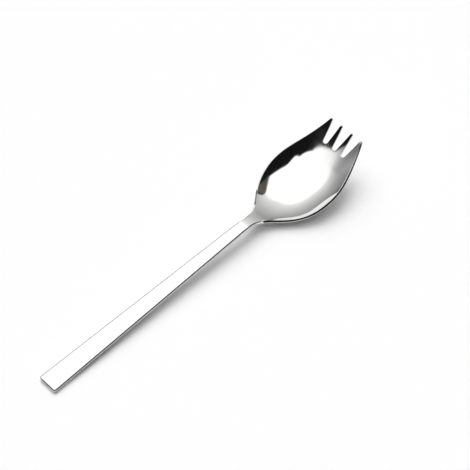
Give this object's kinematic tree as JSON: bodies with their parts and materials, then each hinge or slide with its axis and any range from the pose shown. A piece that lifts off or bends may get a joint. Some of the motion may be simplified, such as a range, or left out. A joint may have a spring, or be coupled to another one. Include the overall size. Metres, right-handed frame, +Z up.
{
  "type": "spork",
  "caption": "Polished steel spork: a flat tapered handle bends down at a slim neck into a shallow rounded bowl, whose raised front edge is cut into short pointed tines.",
  "frame": {"origin": "on the table the spork lies on, under the middle of its overall length and width", "axes": "+X from the end of the handle to the tine tips, +Y across the bowl to the left when looking along +X, +Z up from the table into the open side of the bowl"},
  "size_m": [0.196, 0.0392, 0.0211],
  "materials": {
    "polished_steel": "mirror-polished stainless steel, bare metal with no plating, with fine wiping marks"
  },
  "bodies": {
    "root": {"spork": "polished_steel"}
  },
  "joints": []
}
